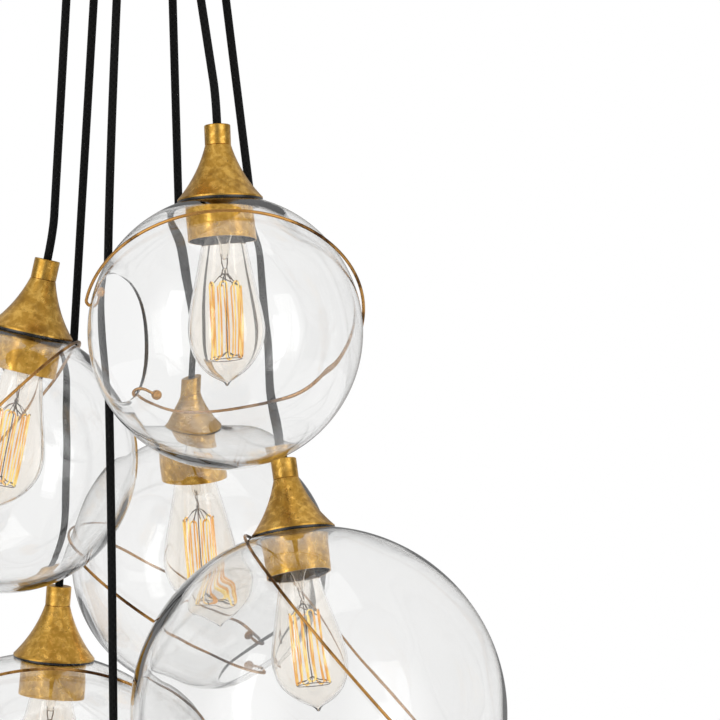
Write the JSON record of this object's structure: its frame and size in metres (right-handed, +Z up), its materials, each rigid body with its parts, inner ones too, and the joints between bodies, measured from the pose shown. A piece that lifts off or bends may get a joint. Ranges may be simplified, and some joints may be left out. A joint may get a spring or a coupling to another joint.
{
  "type": "cluster pendant ceiling light",
  "caption": "Round brass canopy with black cloth cords, each carrying a clear blown-glass globe with a side opening, a wire ring, a flared brass cap and a filament lamp.",
  "frame": {"origin": "middle of the mounting bar's two outlet box holes, on the ceiling plane", "axes": "+Z up into the ceiling, +X to the right as seen by the usual viewer, +Y away from that viewer"},
  "size_m": [0.5076, 0.4907, 0.9061],
  "materials": {
    "aged_brass": "satin, mottled brown patina",
    "zinc_steel": "satin",
    "cord_cloth": "matte woven cloth",
    "clear_glass": "clear, hand blown, slightly uneven",
    "holder_black": "gloss",
    "antique_wire": "dark copper brown, partly worn",
    "bulb_glass": "clear, faint amber",
    "lamp_metal": "polished base, thin steel wires, glowing filament",
    "wiring": "matte"
  },
  "bodies": {
    "root": {"canopy": "aged_brass", "mounting_bar": "zinc_steel", "canopy_posts": "zinc_steel", "cap_nuts": "aged_brass", "cord_grips": "aged_brass", "canopy_wiring": "wiring"},
    "hanging_cord_1": {"cord_1": "cord_cloth"},
    "pendant_1": {"collar_1": "aged_brass", "cap_1": "aged_brass", "globe_1": "clear_glass", "sleeve_1": "aged_brass", "socket_1": "holder_black", "ring_1": "antique_wire"},
    "lamp_1": {"bulb_glass_1": "bulb_glass", "bulb_core_1": "lamp_metal"},
    "hanging_cord_2": {"cord_2": "cord_cloth"},
    "pendant_2": {"collar_2": "aged_brass", "cap_2": "aged_brass", "globe_2": "clear_glass", "sleeve_2": "aged_brass", "socket_2": "holder_black", "ring_2": "antique_wire"},
    "lamp_2": {"bulb_glass_2": "bulb_glass", "bulb_core_2": "lamp_metal"},
    "hanging_cord_3": {"cord_3": "cord_cloth"},
    "pendant_3": {"collar_3": "aged_brass", "cap_3": "aged_brass", "globe_3": "clear_glass", "sleeve_3": "aged_brass", "socket_3": "holder_black", "ring_3": "antique_wire"},
    "lamp_3": {"bulb_glass_3": "bulb_glass", "bulb_core_3": "lamp_metal"},
    "hanging_cord_4": {"cord_4": "cord_cloth"},
    "pendant_4": {"collar_4": "aged_brass", "cap_4": "aged_brass", "globe_4": "clear_glass", "sleeve_4": "aged_brass", "socket_4": "holder_black", "ring_4": "antique_wire"},
    "lamp_4": {"bulb_glass_4": "bulb_glass", "bulb_core_4": "lamp_metal"},
    "hanging_cord_5": {"cord_5": "cord_cloth"},
    "pendant_5": {"collar_5": "aged_brass", "cap_5": "aged_brass", "globe_5": "clear_glass", "sleeve_5": "aged_brass", "socket_5": "holder_black", "ring_5": "antique_wire"},
    "lamp_5": {"bulb_glass_5": "bulb_glass", "bulb_core_5": "lamp_metal"},
    "hanging_cord_6": {"cord_6": "cord_cloth"},
    "pendant_6": {"collar_6": "aged_brass", "cap_6": "aged_brass", "globe_6": "clear_glass", "sleeve_6": "aged_brass", "socket_6": "holder_black", "ring_6": "antique_wire"},
    "lamp_6": {"bulb_glass_6": "bulb_glass", "bulb_core_6": "lamp_metal"}
  },
  "joints": [
    {"name": "pendant_1_swing", "type": "hinge", "parent": "root", "child": "hanging_cord_1", "pos_m": [0.03948, -0.04385, -0.042], "axis": [-0.9397, -0.342, 0], "range_deg": [0, 10]},
    {"name": "pendant_1_turn", "type": "hinge", "parent": "hanging_cord_1", "child": "pendant_1", "pos_m": [0.056, -0.08, -0.159], "axis": [-0.0414, 0.1563, 0.9868], "range_deg": [-5, 5], "stiffness_Nm_per_rad": 0.8},
    {"name": "lamp_1_unscrew", "type": "hinge", "parent": "pendant_1", "child": "lamp_1", "pos_m": [0.05929, -0.09243, -0.23745], "axis": [0.0414, -0.1563, -0.9868], "range_deg": [0, 90]},
    {"name": "pendant_2_swing", "type": "hinge", "parent": "root", "child": "hanging_cord_2", "pos_m": [-0.05771, -0.01227, -0.042], "axis": [0, 1, 0], "range_deg": [0, 10]},
    {"name": "pendant_2_turn", "type": "hinge", "parent": "hanging_cord_2", "child": "pendant_2", "pos_m": [-0.075, 0.012, -0.262], "axis": [0.2164, 0.0256, 0.976], "range_deg": [-20, 20], "stiffness_Nm_per_rad": 0.8},
    {"name": "lamp_2_unscrew", "type": "hinge", "parent": "pendant_2", "child": "lamp_2", "pos_m": [-0.0922, 0.00997, -0.33959], "axis": [-0.2164, -0.0256, -0.976], "range_deg": [0, 90]},
    {"name": "pendant_3_swing", "type": "hinge", "parent": "root", "child": "hanging_cord_3", "pos_m": [0.01823, 0.05611, -0.042], "axis": [0.9659, -0.2588, 0], "range_deg": [0, 10]},
    {"name": "pendant_3_turn", "type": "hinge", "parent": "hanging_cord_3", "child": "pendant_3", "pos_m": [0.025, 0.149, -0.353], "axis": [-0.0794, -0.1387, 0.9871], "range_deg": [-20, 20], "stiffness_Nm_per_rad": 0.8},
    {"name": "lamp_3_unscrew", "type": "hinge", "parent": "pendant_3", "child": "lamp_3", "pos_m": [0.03131, 0.16003, -0.43148], "axis": [0.0794, 0.1387, -0.9871], "range_deg": [0, 90]},
    {"name": "pendant_4_swing", "type": "hinge", "parent": "root", "child": "hanging_cord_4", "pos_m": [0.05771, 0.01227, -0.042], "axis": [-0.2588, -0.9659, 0], "range_deg": [0, 10]},
    {"name": "pendant_4_turn", "type": "hinge", "parent": "hanging_cord_4", "child": "pendant_4", "pos_m": [0.104, -0.002, -0.413], "axis": [-0.1374, 0.2228, 0.9651], "range_deg": [-20, 20], "stiffness_Nm_per_rad": 0.8},
    {"name": "lamp_4_unscrew", "type": "hinge", "parent": "pendant_4", "child": "lamp_4", "pos_m": [0.11492, -0.01971, -0.48973], "axis": [0.1374, -0.2228, -0.9651], "range_deg": [0, 90]},
    {"name": "pendant_5_swing", "type": "hinge", "parent": "root", "child": "hanging_cord_5", "pos_m": [-0.03948, 0.04385, -0.042], "axis": [0.866, 0.5, 0], "range_deg": [0, 10]},
    {"name": "pendant_5_turn", "type": "hinge", "parent": "hanging_cord_5", "child": "pendant_5", "pos_m": [-0.073, 0.134, -0.521], "axis": [0.0766, -0.0435, 0.9961], "range_deg": [-20, 20], "stiffness_Nm_per_rad": 0.8},
    {"name": "lamp_5_unscrew", "type": "hinge", "parent": "pendant_5", "child": "lamp_5", "pos_m": [-0.07909, 0.13746, -0.60019], "axis": [-0.0766, 0.0435, -0.9961], "range_deg": [0, 90]},
    {"name": "pendant_6_swing", "type": "hinge", "parent": "root", "child": "hanging_cord_6", "pos_m": [-0.01823, -0.05611, -0.042], "axis": [-0.866, 0.5, 0], "range_deg": [0, 10]},
    {"name": "pendant_6_turn", "type": "hinge", "parent": "hanging_cord_6", "child": "pendant_6", "pos_m": [-0.022, -0.076, -0.65], "axis": [0, 0.1045, 0.9945], "range_deg": [-20, 20], "stiffness_Nm_per_rad": 0.8},
    {"name": "lamp_6_unscrew", "type": "hinge", "parent": "pendant_6", "child": "lamp_6", "pos_m": [-0.022, -0.08431, -0.72906], "axis": [0, -0.1045, -0.9945], "range_deg": [0, 90]}
  ]
}
